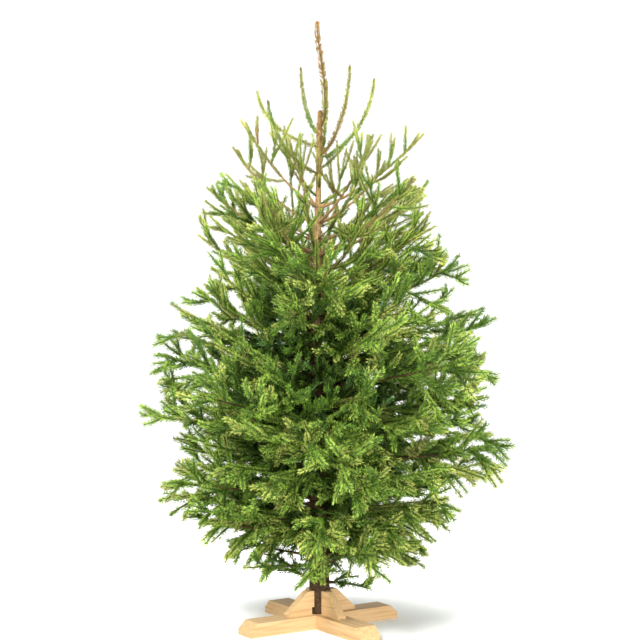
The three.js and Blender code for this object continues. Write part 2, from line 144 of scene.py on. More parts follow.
# Where the finer boughs of one mass run: aside as a share of its sector, up or down as a share of its
# space there, and their length as a share of the bough's own.
FINER = [(-0.56, 0.7, 0.9), (0.56, -0.8, 0.93), (0.52, 0.55, 0.86), (-0.56, -0.55, 0.88), (0.0, 0.95, 0.84)]
FINER_SPREAD = 0.38
FINER_STRETCH = (0.95, 0.08)
FINER_RADIUS = 0.5  # as a share of the bough's own
FINER_START = 0.02
FINER_TURN_JITTER, SWAY_JITTER = 3, 0.05
LEAST_REACH = 110
TRIMMED = 0.88  # what a finer bough keeps of its length each time that it is made shorter

# The small boughs that leave the trunk between two whorls, in a spiral, and close the crown between
# its layers: count of them from height low to height high, each least to most of the crown's reach.
BETWEEN = [
    dict(count=46, low=190, high=1080, least=0.45, most=0.95, spread=0.42, gap=96),
    dict(count=56, low=200, high=960, least=0.26, most=0.42, spread=0.6, gap=50),
    dict(count=12, low=270, high=420, least=0.8, most=1.02, spread=0.42, gap=96),
    dict(count=16, low=690, high=970, least=0.32, most=0.5, spread=0.6, gap=50),
    dict(count=8, low=520, high=610, least=0.9, most=1.04, spread=0.4, gap=110),
    dict(count=10, low=930, high=1120, least=0.78, most=1.0, spread=0.46, gap=96),
    dict(count=6, low=200, high=260, least=0.8, most=1.0, spread=0.46, gap=96),
]
BETWEEN_SEED = 11
BETWEEN_RADIUS = 3.8
RISE_JITTER = 16
SPIRAL, SPIRAL_JITTER = 137.5, 8  # degrees from one to the next

# The pairs of finer sprigs on a bough, and of shoots on a sprig: from share first of it over span, each
# lag of a step on and up to blur more.
SPRIG_PAIRS = dict(first=0.2, span=0.76, lag=0.3, blur=0.4)
SHOOT_PAIRS = dict(first=0.1, span=0.82, lag=0.25, blur=0.5)
PAIR_STAGGER = 0.15  # of a step, back on one side and on on the other
FILLER_PLACE = (0.2, 0.75)
FILLER_STRETCH = (0.6, 0.3)
FREE_STRETCH = (0.85, 0.3)
FREE_FORK, FREE_CLOSES, FREE_RANGE = 16, 18, 14
FREE_FAN = 0.9
SHOOT_STRETCH = (0.75, 0.4)
SHOOT_CLOSES, SHOOT_RANGE = 8, 12
SHOOT_FORWARD = 0.16  # how far a shoot's tip turns forward, as a share of its length
SHOOT_SHARES = (1, 0.7, 0.45)  # the lengths that are tried until a shoot stays inside the crown

TOP_SEED = 7
TOP_SHOOTS = [
    dict(turn=176, height=1497, reach=200, rise=177, colours=("olive", "yellow")),
    dict(turn=116, height=1539, reach=142, rise=231, colours=("mid", "olive")),
    dict(turn=78, height=1440, reach=118, rise=285, colours=("mid", "olive")),
    dict(turn=-50, height=1467, reach=150, rise=267, colours=("amber", "olive")),
    dict(turn=14, height=1461, reach=184, rise=258, colours=("mid", "yellow")),
    dict(turn=206, height=1410, reach=178, rise=219, colours=("olive", "mid")),
]
LEADER = dict(height=1560, rise=336, bow=19, end=-8, colours=("olive", "amber"))
STUB = dict(low=1400, high=1612, colours=("olive", "amber"))  # the trunk's own needled end
TWIGS = dict(count=26, low=330, span=1150, crowded=0.85, pale_from=1050)  # small ones on the trunk
END_BUD, SIDE_BUD = 4.4, 3.2
BUD_LENGTH, BUD_WIDTH = 2.2, 0.62  # as shares of a bud's size

# How the shoots of a part of the crown are dressed: density needles to a millimetre, each needle
# long, lean radians off the shoot and wide to either side. bed is the radius of their close feet
# round the shoot, and under the colour there.
SLIM = dict(density=1.7, needle=11, lean=0.54, wide=1.2, bed=2.9, under="olive_bed")
FULL = dict(density=0.9, needle=15, lean=0.8, wide=1.8, bed=4.6, under="green_bed")
LOOKS = {
    "leader": dict(SLIM, density=1.5, needle=16, lean=0.95, wide=2.0, bed=4.6, under="amber_bed"),
    "stub": dict(SLIM, density=2.6, needle=13, lean=0.85, wide=1.9, bed=7),
    "top": dict(SLIM, density=1.6, needle=13, lean=0.74, wide=1.7, bed=3.6),
    "upper": SLIM,
    "shoulder": dict(SLIM, density=1.25, needle=13, lean=0.62, wide=1.45, bed=3.4, under="green_bed"),
    "high": dict(FULL, needle=14, lean=0.76, wide=1.65, bed=4.2),
    "middle": FULL,
    "low": FULL,
    "skirt": FULL,
}
OUTER_DENSITY = (0.55, 0.5)  # the share of its needles that a spray has, from the trunk out
GOLDEN = 2.39996  # radians round the shoot from one needle to the next
FEWEST_NEEDLES = 4
NEEDLE_JITTER = 0.5  # radians
MORE_ABOVE = 0.25  # how far needles turn to the shoot's upper side
NEEDLE_LEAN = (0.8, 0.4)
NEEDLE_STRETCH = (0.75, 0.35)
NEEDLE_WIDTH = (0.85, 0.3)
FOOT_DEPTH = 0.7  # how deep in the bed a needle's foot is, as a share of the bed's radius
WIDEST_AT = 0.42
NEEDLE_FOLD = 0.35
BED_TAPER = 0.55

# Plain base colours, in sRGB, that are dealt out by spray.
NEEDLE_COLOURS = dict(deep="30480f", mid="64842c", bright="8aa442", yellow="a6ae54", blue="5a8048",
                      olive="92944c", amber="8e6e38")
TWIG_COLOURS = dict(green_bed="466420", olive_bed="74763a", amber_bed="74602e", bud="6e4424")

# How often a spray has each colour: its old needles, then its young ones.
DENSE = dict(mid=6, deep=2, bright=3, olive=1), dict(bright=6, yellow=2, mid=2, olive=1)
SPRAYS = {
    "upper": (dict(olive=6, mid=3, amber=1), dict(olive=5, yellow=4, bright=1)),
    "shoulder": (dict(mid=4, olive=4, bright=2), dict(bright=4, yellow=3, olive=3)),
    "high": (dict(mid=6, bright=4, olive=2, blue=1), dict(bright=6, yellow=4, mid=2)),
    "middle": DENSE,
    "low": DENSE,
    # The skirt is dealt a lighter mix, more bright and yellow greens: painted light on the crown's foot,
    # which lies in the crown's shade.
    "skirt": (dict(mid=5, bright=5, yellow=1), dict(bright=5, yellow=5)),
    # The inner mix is painted shade: sprays deep inside a dense whorl are dealt darker greens.
    "inner": (dict(deep=6, mid=3), dict(mid=6, deep=3, blue=2)),
}
INNER_SHADE_REACH = 0.5  # the share of its reach within which a dense whorl has the darker inner colours, painted shade deep in the crown
OPEN_WHORLS = ("upper", "shoulder")
YOUNG_FROM = 0.6  # the share of a sprig at which its young needles start
YOUNG_ON_SHOOT = (0.2, 0.5)
COLOUR_RANGE = 0.4
SAME_COLOURS = 0.65  # the share of a sprig's shoots that have its own colours

# What the finer growth keeps to: the solid model's box and a little more, the crown's own narrowing
# towards its foot and top, and the view from the front of the pale stem.
PROUD = 18
CROWN_LOW = [v / MM - PROUD for v in CAD_BOX[0]]
CROWN_HIGH = [v / MM + PROUD for v in CAD_BOX[1]]
TAPER_HEIGHTS = (140, 200, 260, 330, 420, 520, 1000, 1230, 1370, 1520, 1660, 1760)
TAPER_REACH = (210, 300, 380, 450, 530, 700, 700, 440, 370, 300, 205, 120)
STEM_VIEW = 34  # half the width that is left open
STEM_LOW, STEM_HIGH = 1085, 1440

# Flaky bark: size is across one flake, and relief how far flakes stand out of the seams.
FLAKE_SQUAT = 0.45  # a flake's width as a share of its height
FLAKE_EDGE = 2.6
BOUGH_BARK = dict(rings=48, sides=8, size=7, relief=1.1)
TRUNK_BARK = dict(rings=360, sides=60, size=8.5, relief=0.9)
COLLAR, COLLAR_LENGTH = 0.9, 1.3  # of a bough at the trunk, as shares of both radii
KNOTS = dict(seed=3, count=46, low=120, high=1500, least=5, most=10)

# The studio, in metres.
FLOOR_REACH, COVE_RADIUS, WALL_TOP = 6.0, 2.0, 5.5
FLOOR_SIDES = 64
SKY_COLOUR, SKY_STRENGTH = (0.98, 0.99, 1.0, 1), 0.5
LIGHTS = [
    dict(name="key", at=(-2.0, -4.2, 4.0), aim=(0, 0, 0.9), size=1.4, power=385),
    dict(name="fill", at=(2.0, -3.6, 0.8), aim=(0, 0, 0.5), size=1.6, power=105),
    dict(name="top", at=(0.3, 0.4, 4.8), aim=(0, 0, 1.0), size=2.0, power=240),
]
EYE = (0.0, -4.5, 0.985)
LENS = 78.6


def within(pair, share):
    """A value out of a least value and a range, for a number from 0 to 1."""
    least, more = pair
    return least + more * share


def centred(width, share):
    """A value within half of width on either side of 0, for a number from 0 to 1."""
    return width * (share - 0.5)


def wrapped(turn):
    """A turn as the same one between -180 and 180 degrees."""
    return (turn + 180) % 360 - 180


def unit(v):
    """Vectors brought to length 1."""
    return v / np.linalg.norm(v, axis=-1, keepdims=True)


def heading_of(turn):
    """The level heading at a turn in degrees from the right."""
    return np.array([math.cos(math.radians(turn)), math.sin(math.radians(turn)), 0.0])


def draws(seed):
    """Numbers from 0 to 1 that are the same on every run, for one limb or sprig."""
    state = (seed * SEED_FACTOR) % LIMIT

    def draw():
        nonlocal state
        state = (state * DRAW_FACTOR + DRAW_STEP) % LIMIT
        return state / LIMIT

    return draw


def seed_of(parent, k, side):
    """The seed of one sprig, mixed from its bough's own, its place on it and its side."""
    return (parent * 131 + k * 17 + side * 7 + 3) % 99991


def trunk_centre(height):
    """The trunk's centre at a height above its cut."""
    bow = math.sin(math.pi * height / TRUNK_HEIGHT)
    return np.array([TRUNK_LEAN * bow, 0.0, BOARD_THICKNESS + GAP + height])


def trunk_radius(height):
    """The trunk's radius at a height above its cut, with its swelling at each whorl."""
    share = max(0.0, 1 - height / TRUNK_HEIGHT)
    taper = TOP_RADIUS + (BUTT_RADIUS - TOP_RADIUS) * share**TAPER_POWER
    nearest = min(abs(w["height"] - height) for w in WHORLS)
    return taper * (1 + WHORL_SWELL * math.exp(-((nearest / SWELL_LENGTH) ** 2)))


def branch(whorl, index):
    """A bough of a whorl: its root on the trunk's centre line, its course and its size."""
    seed = whorl["seeds"][index]
    draw = draws(seed)
    middle = whorl["turn"] + index * 360 / whorl["boughs"]
    turn = middle + centred(TURN_RANGE, draw())
    stretch = (1 + LOPSIDED * math.cos(math.radians(turn))) * within(STRETCH, draw())
    stagger = -whorl["stagger"] if index % 2 else whorl["stagger"]
    height = whorl["height"] + stagger + centred(HEIGHT_RANGE, draw())
    rise = whorl["rise"] + centred(RISE_RANGE, draw())
    sway = centred(SWAY_RANGE, draw()) * whorl["reach"]
    return {**whorl, "seed": seed, "middle": middle, "out": heading_of(turn), "height": height,
            "reach": whorl["reach"] * stretch, "rise": rise, "sway": sway,
            "full_reach": whorl["reach"], "whorl": whorl}


def course_at(b, t):
    """Where a bough is at share t of its reach, and which way it grows there."""
    side = np.cross(UP, b["out"])
    climb = b["slope"] * b["reach"]
    at = (trunk_centre(b["height"]) + b["out"] * b["reach"] * t + side * b["sway"] * t * t
          + UP * (climb * t + (b["rise"] - climb) * t * t))
    along = b["out"] * b["reach"] + side * 2 * b["sway"] * t + UP * (climb + 2 * (b["rise"] - climb) * t)
    return at, unit(along)


def branch_radius(b, t):
    """The radius of a bough at share t of its reach."""
    return TIP_RADIUS + (b["radius"] - TIP_RADIUS) * max(0.0, 1 - t) ** LIMB_TAPER


def layer(whorl, out):
    """The height of a whorl's own surface at a distance from the trunk's line."""
    curved = (whorl["rise"] - whorl["slope"] * whorl["reach"]) * (out / whorl["reach"]) ** 2
    return BOARD_THICKNESS + whorl["height"] + whorl["slope"] * out + curved


def limits(b, out):
    """The lowest and highest that the mass of a bough reaches at a distance from the trunk's line."""
    i = next(n for n, w in enumerate(WHORLS) if w["name"] == b["name"])
    last = i == len(WHORLS) - 1
    own = layer(WHORLS[i], out)
    top = (layer(WHORLS[i - 1], out) + own) / 2 if i > 0 else own + ROOM_ABOVE
    bottom = BOARD_THICKNESS + GROUND_CLEARANCE if last else (layer(WHORLS[i + 1], out) + own) / 2
    return bottom + SPACE_MARGIN, top - SPACE_MARGIN


def in_space(b, p):
    """True where a point lies in the space of a bough's mass."""
    out = math.hypot(p[0], p[1])
    aside = abs(wrapped(math.degrees(math.atan2(p[1], p[0])) - b["middle"]))
    if out * math.radians(180 / b["boughs"] - aside) < SPACE_MARGIN:
        return False
    below, above = limits(b, out)
    return below < p[2] < above


def turned(along, across, lift, side, angle, roll):
    """A heading at an angle to another, to one side of it and rolled round it out of the flat."""
    outward = across * side * math.cos(roll) + lift * math.sin(roll)
    return along * math.cos(angle) + outward * math.sin(angle)


def sprig_length(b, t):
    """The length of a sprig at share t of a bough's reach, as a share of that reach."""
    return max(b["spread"] * (1 - t) ** SPREAD_POWER, LEAST_SPREAD)


def sprig_course(b, t, side, length, angle, fan, tilt):
    """A sprig: its root at share t of a bough's reach, its heading, its upper side and its length.
    fan is how far it fans out, up or down, as a share of the room that its mass has there."""
    at, along = course_at(b, t)
    across = unit(np.cross(along, UP))
    lift = unit(np.cross(across, along))
    below, above = limits(b, math.hypot(at[0], at[1]))
    depth = fan * (above - at[2]) if fan > 0 else fan * (at[2] - below)
    roll = math.asin(min(STEEPEST, max(-STEEPEST, depth / (length * math.sin(angle)))))
    direction = unit(turned(along, across, lift, side, angle, roll))
    up = lift * math.cos(tilt) + across * math.sin(tilt)
    return dict(root=at, along=direction, up=up, length=length)


def side_sprig(b, k, side):
    """Sprig k on one side of a bough, as the solid model has it."""
    draw = draws(seed_of(b["seed"], k, side + 2))
    first = LIMB_SHARE + (PAST_LIMB if b["limb"] else 0)
    step = (LAST_SPRIG - first) / b["sprigs"]
    t = first + step * (k + SIDE_STEP[side] + PLACE_BLUR * draw())
    reach = sprig_length(b, t) * within(SPRIG_STRETCH, draw())
    angle = math.radians(SPRIG_FORK - FORK_CLOSES * t + centred(FORK_RANGE, draw()))
    fan = FAN[(2 * k + (1 if side > 0 else 0)) % len(FAN)] * within(FAN_SHARE, draw())
    tilt = math.radians((-1 if draw() < 0.5 else 1) * within(SPRIG_TILT, draw()))
    return sprig_course(b, t, side, reach * b["reach"], angle, fan, tilt)


def free_sprig(b, t, side, share, rng):
    """A finer sprig of a bough, at share t of its reach. share scales its length."""
    length = sprig_length(b, t) * share * b["reach"]
    angle = math.radians(b["fork"] + FREE_FORK - FREE_CLOSES * t + centred(FREE_RANGE, rng.random()))
    tilt = math.radians(rng.normal(0, b["loose"]))
    return sprig_course(b, t, side, length, angle, rng.uniform(-FREE_FAN, FREE_FAN), tilt)


def sprig_at(b, course, s, length):
    """A point of a sprig at share s of a length, the sprig's heading there and what lies across it."""
    at = course["root"] + course["along"] * length * s + UP * b["bend"] * length * s * s
    heading = unit(course["along"] + UP * 2 * b["bend"] * s)
    return at, heading, unit(np.cross(heading, course["up"]))


def blade_tips(b, course, length):
    """The points of a sprig of the solid model that keep inside the mass's space: its teeth and tip."""
    steps = 2 * BLADE_TEETH + 1
    for i in range(1, steps, 2):
        s = i / steps
        centre, heading, across = sprig_at(b, course, s, length)
        half = length * b["width"] * math.sin(math.pi * within(BLADE_SWELL, s))
        ahead = min(half * SWEEP, MOST_SWEEP * length / steps)
        for side in SIDES:
            yield centre + across * side * half + heading * ahead
    yield sprig_at(b, course, 1.0, length)[0]


def fitted(b, course):
    """A sprig's course at the longest length that keeps it in its space, or None."""
    for share in SHORTER:
        length = course["length"] * share
        if all(in_space(b, p) for p in blade_tips(b, course, length)):
            return {**course, "length": length}
    return None


def within_taper(p):
    """True where a point lies within the crown's own narrowing towards its top and its foot."""
    return math.hypot(p[0], p[1]) < np.interp(p[2], TAPER_HEIGHTS, TAPER_REACH)


def inside_crown(p):
    """True where a point lies within what the crown reaches, and leaves the pale stem in view."""
    boxed = all(low < v < high for v, low, high in zip(p, CROWN_LOW, CROWN_HIGH))
    before_stem = abs(p[0]) < STEM_VIEW and p[1] < 0 and STEM_LOW < p[2] < STEM_HIGH
    return boxed and within_taper(p) and not before_stem


def curve(root, direction, length, bend, points):
    """A gently bending path. bend is how far its tip moves aside, as a share of its length."""
    s = np.linspace(0, 1, points)[:, None]
    return root + direction * length * s + bend * length * s * s


def ring_faces(rings, sides):
    """The triangles between rings of points that follow one another."""
    here = np.arange(sides)
    rows = np.arange(rings - 1)[:, None] * sides
    lower, lower_next = rows + here, rows + (here + 1) % sides
    upper, upper_next = lower + sides, lower_next + sides
    return np.concatenate([
        np.stack([lower, lower_next, upper_next], -1).reshape(-1, 3),
        np.stack([lower, upper_next, upper], -1).reshape(-1, 3),
    ])


def tube(path, radii, sides):
    """A tapering skin round a path, closed at both ends."""
    heading = unit(np.gradient(path, axis=0))
    upright = abs(heading[:, 2].mean()) > 0.9
    across = unit(np.cross(heading, RIGHT if upright else UP))
    lift = np.cross(across, heading)
    turn = np.arange(sides) * 2 * math.pi / sides
    ring = lift[:, None] * np.cos(turn)[None, :, None] + across[:, None] * np.sin(turn)[None, :, None]
    points = (path[:, None] + ring * np.asarray(radii)[:, None, None]).reshape(-1, 3)
    here = np.arange(sides)
    first, second, third = here[:-2] * 0, here[1:-1], here[2:]
    faces = np.concatenate([
        ring_faces(len(path), sides),
        np.stack([first, third, second], -1),
        np.stack([first, second, third], -1) + sides * (len(path) - 1),
    ])
    return points, faces


def scaly(x, y, z, size):
    """Relief of flaky bark at a place, from 0 in the seams to 1 on the flakes."""
    near = noise.voronoi(Vector((x, y, z * FLAKE_SQUAT)) * (1 / size))[0]
    return min(1.0, (near[1] - near[0]) * FLAKE_EDGE)


def barked(path, radii, bark):
    """A tapering skin round a path, with flakes of bark."""
    points, faces = tube(path, radii, bark["sides"])
    outward = unit(points - np.repeat(path, bark["sides"], axis=0))
    flakes = np.array([scaly(*p, bark["size"]) for p in points])
    return points + outward * (bark["relief"] * (flakes - 0.5))[:, None], faces


def between_points(wanted, run, values):
    """What a path's values are at some distances along it, out of those at its points."""
    return np.stack([np.interp(wanted, run, values[:, axis]) for axis in range(3)], -1)


def needles(path, up, look, rng, first=0.0):
    """Folded kites that stand round a path, and the share of the path at which each stands."""
    steps = np.linalg.norm(np.diff(path, axis=0), axis=1)
    run = np.concatenate([[0], np.cumsum(steps)])
    n = max(FEWEST_NEEDLES, int(run[-1] * (1 - first) * look["density"]))
    share = first + (1 - first) * (np.arange(n) + rng.random(n)) / n
    at = between_points(share * run[-1], run, path)
    heading = unit(between_points(share * run[-1], run, unit(np.gradient(path, axis=0))))
    across = unit(np.cross(heading, up))
    lift = np.cross(across, heading)
    turn = np.arange(n) * GOLDEN + rng.normal(0, NEEDLE_JITTER, n)
    radial = unit(lift * (np.cos(turn) + MORE_ABOVE)[:, None] + across * np.sin(turn)[:, None])
    # Towards the shoot's tip the needles lie closer to it and are shorter.
    angle = (look["lean"] * (1 - 0.5 * share**4) * within(NEEDLE_LEAN, rng.random(n)))[:, None]
    pointing = heading * np.cos(angle) + radial * np.sin(angle)
    size = (look["needle"] * within(NEEDLE_STRETCH, rng.random(n)) * (1 - 0.3 * share**6))[:, None]
    side = unit(np.cross(pointing, heading))
    face = np.cross(side, pointing)
    spin = (rng.random(n) * math.pi)[:, None]
    across_face = side * np.cos(spin) + face * np.sin(spin)
    back = np.cross(across_face, pointing)
    foot = at + radial * look["bed"] * FOOT_DEPTH
    middle = foot + pointing * size * WIDEST_AT - back * NEEDLE_FOLD
    half = across_face * (look["wide"] * within(NEEDLE_WIDTH, rng.random(n)))[:, None]
    return np.stack([foot, middle + half, foot + pointing * size, middle - half], 1), share


# The joined pieces under way: kites of needles and skins of twigs, by part of the crown and colour.
kites = {}
skins = {}


def add_skin(part, colour, skin):
    """Puts a skin to those of its part and colour."""
    skins.setdefault((part, colour), []).append(skin)


def deal(part, made, share, colours, edge, rng):
    """Gives the needles of one shoot their colours: the first up to about share edge, then the other."""
    near = share + centred(COLOUR_RANGE, rng.random(len(share))) < edge
    for colour, chosen in zip(colours, (near, ~near)):
        if chosen.any():
            kites.setdefault((part, colour), []).append(made[chosen])


def brush(part, look, path, up, colours, edge, rng, first=0.0):
    """A shoot and its needles, of one colour up to share edge of its length and another beyond."""
    fade = np.linspace(0, 1, len(path)) ** 3
    add_skin(part, look["under"], tube(path, look["bed"] * (1 - BED_TAPER * fade), 3))
    made, share = needles(path, up, look, rng, first)
    deal(part, made, share, colours, edge, rng)


def pick(rng, table):
    """A name from a table of names and weights."""
    names = list(table)
    weights = np.array([table[n] for n in names], float)
    return names[rng.choice(len(names), p=weights / weights.sum())]


def share_out(b, p):
    """How far out a point is, as a share of the reach of its whorl."""
    return math.hypot(p[0], p[1]) / b["full_reach"]


def spray_colours(b, tip, rng):
    """The base colours of one spray: of its old needles and of its young ones, darker deep inside a dense
    whorl as painted shade.
    """
    inner = share_out(b, tip) < INNER_SHADE_REACH and b["name"] not in OPEN_WHORLS
    old, young = SPRAYS["inner" if inner else b["name"]]
    return pick(rng, old), pick(rng, young)


def look_at(b, tip):
    """How a mass is dressed where a spray ends: with fewer needles deep inside the crown."""
    look = LOOKS[b["name"]]
    return {**look, "density": look["density"] * within(OUTER_DENSITY, min(1.0, share_out(b, tip)))}


def place_in(pairs, n, count, side, rng):
    """The share at which one of pair n of a row of pairs stands."""
    steps = n + pairs["lag"] + PAIR_STAGGER * side + pairs["blur"] * rng.random()
    return pairs["first"] + pairs["span"] * steps / count


def shoot_course(b, course, s, side, rng):
    """A shoot at share s of a sprig: its root, the sprig's heading there, its own and its length."""
    length = course["length"]
    at, heading, across = sprig_at(b, course, s, length)
    # The spray narrows to a point at the sprig's tip.
    left = (0.1 + 0.3 * (1 - s)) * b["shoot"] + 0.6 * (1 - s) * length
    reach = min(b["shoot"], left) * within(SHOOT_STRETCH, rng.random())
    angle = math.radians(b["fork"] - SHOOT_CLOSES * s + centred(SHOOT_RANGE, rng.random()))
    roll = math.radians(rng.normal(0, b["loose"]))
    lift = np.cross(across, heading)
    return at, heading, turned(heading, across, lift, side, angle, roll), reach


def dress_sprig(b, course, rng):
    """A sprig and the shoots on both its sides."""
    path = curve(course["root"], course["along"], course["length"], UP * b["bend"], 5)
    look = look_at(b, path[-1])
    colours = spray_colours(b, path[-1], rng)
    brush(b["name"], look, path, course["up"], colours, YOUNG_FROM, rng, 0.05)
    count = max(1, round(course["length"] * SHOOT_PAIRS["span"] / b["step"]))
    for n in range(count):
        for side in SIDES:
            s = place_in(SHOOT_PAIRS, n, count, side, rng)
            at, heading, direction, reach = shoot_course(b, course, s, side, rng)
            own = colours if rng.random() < SAME_COLOURS else spray_colours(b, path[-1], rng)
            edge = within(YOUNG_ON_SHOOT, rng.random())
            bend = heading * SHOOT_FORWARD + UP * b["lift"]
            for share in SHOOT_SHARES:
                shoot = curve(at, direction, reach * share, bend, 3)
                if inside_crown(shoot[-1]) and inside_crown(shoot[1]):
                    brush(b["name"], look, shoot, course["up"], own, edge, rng)
                    break


def dress_stem(b, rng, main):
    """The bark and the outer needles of a bough's own stem. A main bough has bark with relief."""
    shares = np.linspace(0 if main else FINER_START, 1.0, 15 if main else 9)
    path = np.array([course_at(b, t)[0] for t in shares])
    collar = 1 + COLLAR * np.exp(-shares * b["reach"] / (COLLAR_LENGTH * trunk_radius(b["height"])))
    radii = np.array([branch_radius(b, t) for t in shares]) * collar
    if main:
        fine = np.linspace(0, 1, BOUGH_BARK["rings"])
        stem = np.array([course_at(b, t)[0] for t in fine])
        add_skin("boughs", "bark", barked(stem, np.interp(fine, shares, radii), BOUGH_BARK))
    else:
        add_skin("boughs", "bark", tube(path, radii, 4))
    colours = spray_colours(b, path[-1], rng)
    bare = len(path) // (2 if main else 4)
    brush(b["name"], look_at(b, path[-1]), path[bare:], UP, colours, YOUNG_FROM, rng)


def dress_finer(b, rng):
    """A finer bough and the sprigs on both its sides, short enough to end within the crown."""
    while b["reach"] > LEAST_REACH and not within_taper(course_at(b, 1.0)[0]):
        b = {**b, "reach": b["reach"] * TRIMMED, "rise": b["rise"] * TRIMMED}
    dress_stem(b, rng, False)
    pairs = max(2, round(b["reach"] * SPRIG_PAIRS["span"] / b["gap"]))
    for k in range(pairs):
        for side in SIDES:
            t = place_in(SPRIG_PAIRS, k, pairs, side, rng)
            course = free_sprig(b, t, side, within(FREE_STRETCH, rng.random()), rng)
            if inside_crown(course["root"] + course["along"] * course["length"]):
                dress_sprig(b, course, rng)


def dress_stems(b, rng):
    """The finer boughs that share a mass's space, above and below its own bough."""
    sector = 180 / b["boughs"]
    turn = math.degrees(math.atan2(b["out"][1], b["out"][0]))
    for aside, lift, share in FINER[:b["stems"]]:
        reach = b["reach"] * share * within(FINER_STRETCH, rng.random())
        rooms = []
        for out in (trunk_radius(b["height"]), reach):
            below, above = limits(b, out)
            own = layer(b["whorl"], out)
            rooms.append(lift * ((above - own) if lift > 0 else (own - below)))
        dress_finer({**b, "out": heading_of(turn + aside * sector + rng.normal(0, FINER_TURN_JITTER)),
                     "height": b["height"] + rooms[0], "reach": reach,
                     "rise": b["rise"] * share + rooms[1] - rooms[0],
                     "radius": b["radius"] * FINER_RADIUS,
                     "sway": rng.normal(0, SWAY_JITTER) * reach, "spread": FINER_SPREAD}, rng)


def dress_branch(b):
    """A whole bough: its stem, its sprigs as in the solid model, and finer ones between them."""
    rng = np.random.default_rng(b["seed"])
    dress_stem(b, rng, True)
    last, along = course_at(b, TIP_FROM)
    courses = [dict(root=last, along=along, up=UP, length=TIP_LENGTH * b["reach"])]
    for k in range(b["sprigs"]):
        courses += [side_sprig(b, k, side) for side in SIDES]
    if b["stems"]:
        for side in SIDES:
            t = within(FILLER_PLACE, rng.random())
            courses.append(free_sprig(b, t, side, within(FILLER_STRETCH, rng.random()), rng))
    for course in courses:
        kept = fitted(b, course)
        if kept:
            dress_sprig(b, kept, rng)
    dress_stems(b, rng)


def dress_between(row, seed):
    """One row of the small boughs that leave the trunk between the whorls."""
    rng = np.random.default_rng(seed)
    whorls = sorted(WHORLS, key=lambda w: w["height"])
    heights = [w["height"] for w in whorls]
    for n in range(row["count"]):
        height = row["low"] + (row["high"] - row["low"]) * (n + rng.random()) / row["count"]
        whorl = min(WHORLS, key=lambda w: abs(w["height"] - height))
        full = np.interp(height, heights, [w["reach"] for w in whorls])
        rise = np.interp(height, heights, [w["rise"] for w in whorls])
        share = rng.uniform(row["least"], row["most"])
        out = heading_of(n * SPIRAL + rng.normal(0, SPIRAL_JITTER))
        dress_finer({**whorl, "whorl": whorl, "full_reach": full, "out": out, "height": height,
                     "reach": full * share, "rise": rise * share + rng.normal(0, RISE_JITTER),
                     "radius": BETWEEN_RADIUS, "sway": rng.normal(0, SWAY_JITTER) * full,
                     "spread": row["spread"], "gap": row["gap"]}, rng)


def shoot_path(root, out, reach, rise):
    """The course of a shoot round the leader: out first, then up."""
    s = np.linspace(0, 1, 14)[:, None]
    return root + out * reach * (1 - (1 - s) ** 1.5) + UP * rise * (0.35 * s + 0.65 * s * s)


def leader_path():
    """The course of the side shoot that has taken over as leader."""
    s = np.linspace(0, 1, 22)
    bow = LEADER["bow"] * np.sin(math.pi * np.minimum(1, s * 1.15) ** 0.6)
    across = bow + LEADER["end"] * s
    return trunk_centre(LEADER["height"]) + np.stack([across, s * 0, LEADER["rise"] * s], -1)


def bud(at, heading, size):
    """A pointed bud: a spindle of a few rings."""
    s = np.linspace(-0.15, 1, 6)
    path = at + heading * size * BUD_LENGTH * s[:, None]
    belly = np.sin(math.pi * (0.16 + 0.8 * s).clip(0.05, 0.97))
    add_skin("top", "bud", tube(path, size * BUD_WIDTH * belly, 6))


def dress_shoot(look, path, colours, edge, rng):
    """A bare shoot of the top: its twig, the short needles held close to it and the buds at its end."""
    brush("top", look, path, RIGHT, colours, edge, rng, 0.05)
    tip = unit(path[-1] - path[-2])
    bud(path[-1], tip, END_BUD)
    for k in range(3):
        aside = unit(np.cross(tip, heading_of(120 * k + 30)))
        bud(path[-1] - tip * 3, unit(tip + aside * 0.8), SIDE_BUD)


def dress_twigs(rng):
    """The small twigs that stand on the trunk, a little closer together towards its top."""
    for n in range(TWIGS["count"]):
        share = (n + rng.random()) / TWIGS["count"]
        height = TWIGS["low"] + TWIGS["span"] * share ** TWIGS["crowded"]
        out = heading_of(rng.uniform(0, 360))
        root = trunk_centre(height) + out * trunk_radius(height) * 0.7
        path = curve(root, unit(out + UP * rng.uniform(0.2, 0.7)), rng.uniform(45, 120), UP * 0.2, 5)
        colours = ("olive", "yellow") if height > TWIGS["pale_from"] else ("deep", "mid")
        brush("top", LOOKS["shoulder"], path, UP, colours, YOUNG_FROM, rng, 0.1)


def dress_top():
    """The leader, the shoots round it, the trunk's own needled end and its small twigs."""
    rng = np.random.default_rng(TOP_SEED)
    dress_shoot(LOOKS["leader"], leader_path(), LEADER["colours"], 0.4, rng)
    for row in TOP_SHOOTS:
        path = shoot_path(trunk_centre(row["height"]), heading_of(row["turn"]), row["reach"], row["rise"])
        dress_shoot(LOOKS["top"], path, row["colours"], 0.5, rng)
    stub = np.array([trunk_centre(h) for h in np.linspace(STUB["low"], STUB["high"], 9)])
    made, share = needles(stub, RIGHT, LOOKS["stub"], rng)
    deal("top", made, share, STUB["colours"], 0.5, rng)
    dress_twigs(rng)


def linear(code):
    """A base colour from its sRGB code."""
    parts = [int(code[i:i + 2], 16) / 255 for i in (0, 2, 4)]
    return [*(c / 12.92 if c <= 0.04045 else ((c + 0.055) / 1.055) ** 2.4 for c in parts), 1.0]


def darker(code, share):
    """A base colour's code with its brightness scaled."""
    return "".join(f"{min(255, round(int(code[i:i + 2], 16) * share)):02x}" for i in (0, 2, 4))


